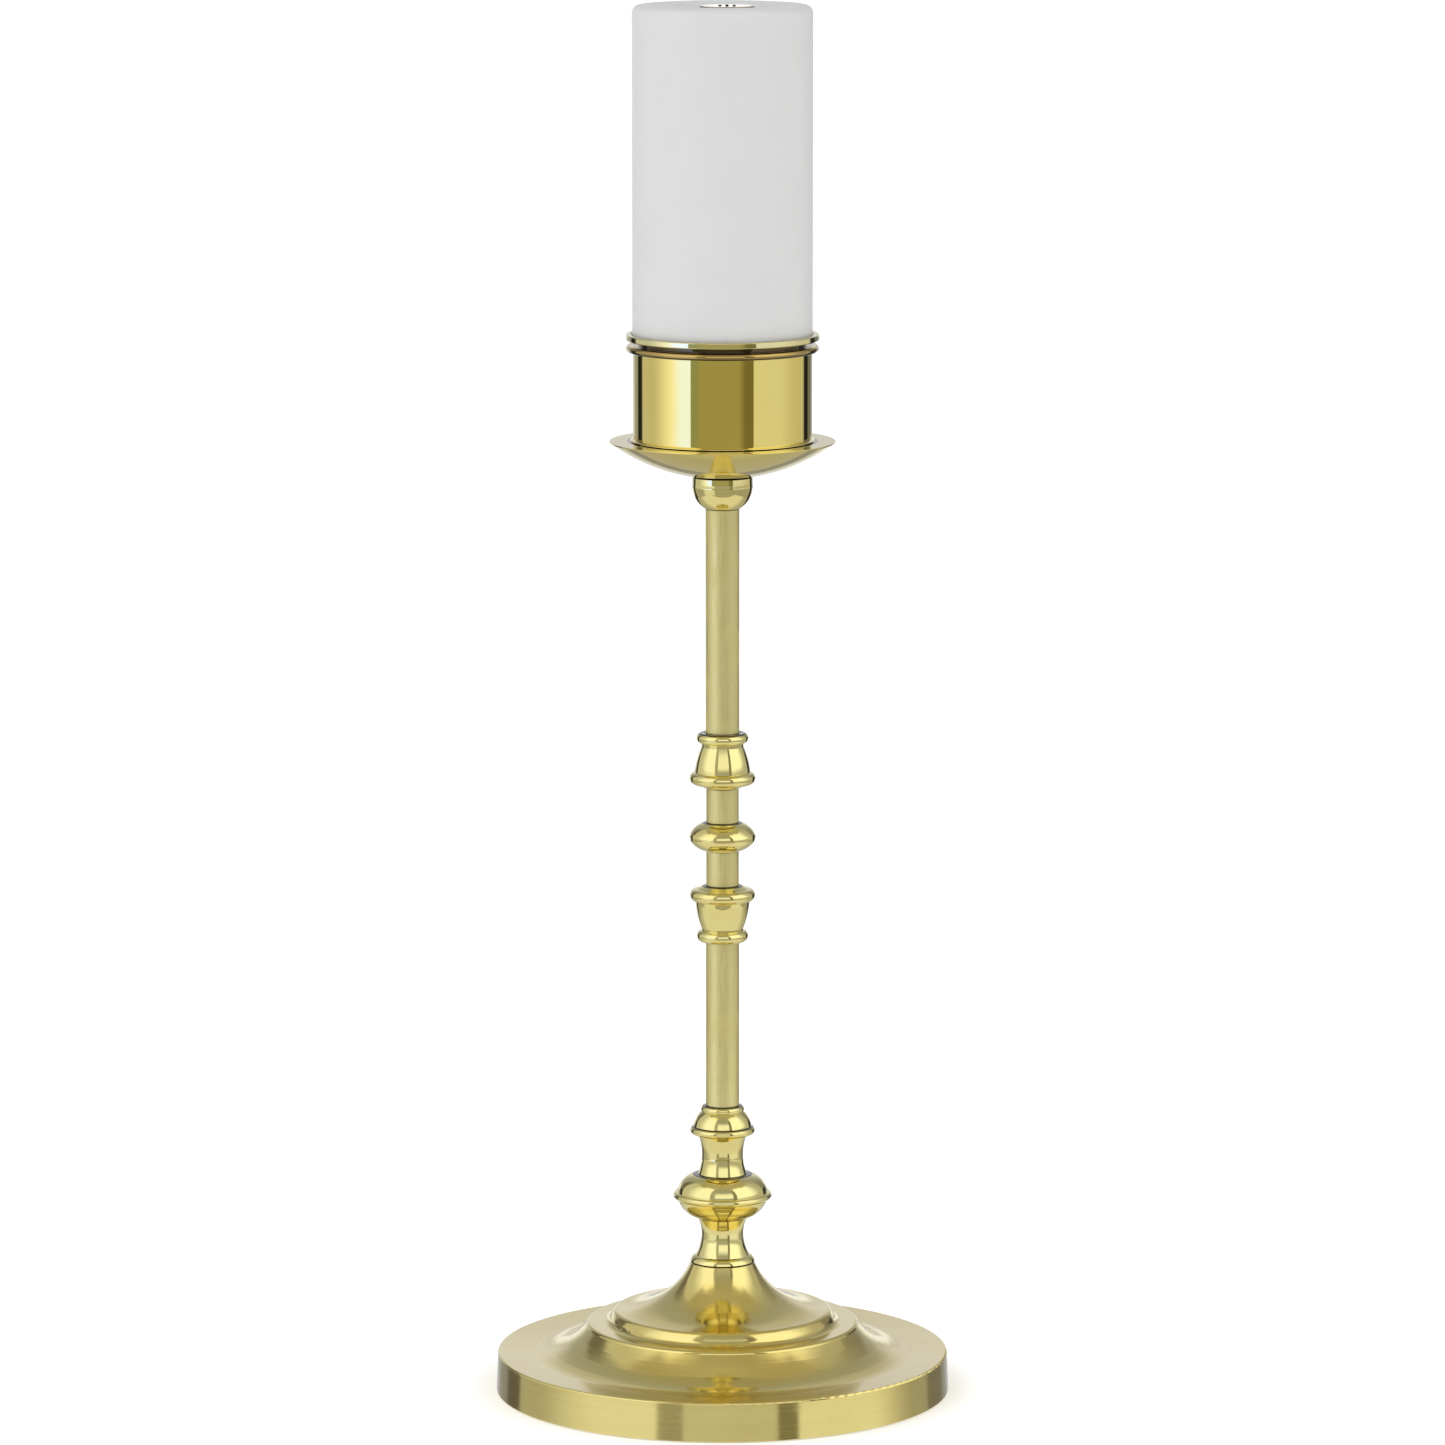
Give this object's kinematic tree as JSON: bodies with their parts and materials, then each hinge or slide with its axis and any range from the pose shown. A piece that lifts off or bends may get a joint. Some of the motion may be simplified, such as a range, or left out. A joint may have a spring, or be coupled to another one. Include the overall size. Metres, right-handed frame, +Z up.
{
  "type": "pillar candle holder",
  "caption": "Tall turned brass candlestick with a stepped round foot, drip saucer and cup, carrying a lift-off tray and a white pillar candle with a refillable burner.",
  "frame": {"origin": "centre of the felt pad's underside, where the holder stands on a table", "axes": "+Z up along the stem; the holder is round about Z, except that the candle's recess and burner sit 1.5 mm towards +X; the burner's two vents lie along X"},
  "size_m": [0.154, 0.154, 0.4706],
  "materials": {
    "foot_brass": "satin-brushed lacquered brass",
    "stem_brass": "turned and polished lacquered brass",
    "tube_brass": "drawn tube with fine brushing, lacquered",
    "cup_brass": "mirror polished lacquered brass",
    "ring_brass": "polished brass, slightly coppery",
    "tray_brass": "mirror polished pale brass",
    "cap_nut_brass": "polished",
    "burner_brass": "satin brass",
    "rod_steel": "zinc plated steel",
    "ballast_iron": "as cast, painted",
    "felt": "dark wool felt",
    "candle_wax": "smooth satin white wax",
    "reservoir_plastic": "clear moulded vial",
    "wick_fibre": "glass-fibre wick with a charred tip"
  },
  "bodies": {
    "stand": {"foot_shell": "foot_brass", "ballast_disc": "ballast_iron", "felt_pad": "felt", "tie_rod": "rod_steel", "base_washer": "rod_steel", "base_nut": "rod_steel", "lower_spool": "stem_brass", "large_knop": "stem_brass", "upper_spool": "stem_brass", "stem_dome": "stem_brass", "lower_tube": "tube_brass", "lower_vase_collar": "stem_brass", "lower_link_tube": "tube_brass", "center_knop": "stem_brass", "upper_link_tube": "tube_brass", "upper_vase_collar": "stem_brass", "upper_tube": "tube_brass", "ball_cup": "stem_brass", "drip_saucer": "cup_brass", "candle_cup": "cup_brass", "cup_rim_ring": "ring_brass", "cup_washer": "rod_steel", "cap_nut": "cap_nut_brass"},
    "tray": {"candle_tray": "tray_brass"},
    "candle": {"candle_body": "candle_wax", "oil_reservoir": "reservoir_plastic"},
    "burner": {"burner_cap": "burner_brass", "wick_tube": "burner_brass", "wick": "wick_fibre"}
  },
  "joints": [
    {"name": "tray_lift", "type": "slide", "parent": "stand", "child": "tray", "axis": [0, 0, 1], "range_m": [0, 0.03]},
    {"name": "candle_lift", "type": "slide", "parent": "tray", "child": "candle", "axis": [0, 0, 1], "range_m": [0, 0.04]},
    {"name": "burner_lift", "type": "slide", "parent": "candle", "child": "burner", "axis": [0, 0, 1], "range_m": [0, 0.07]}
  ]
}
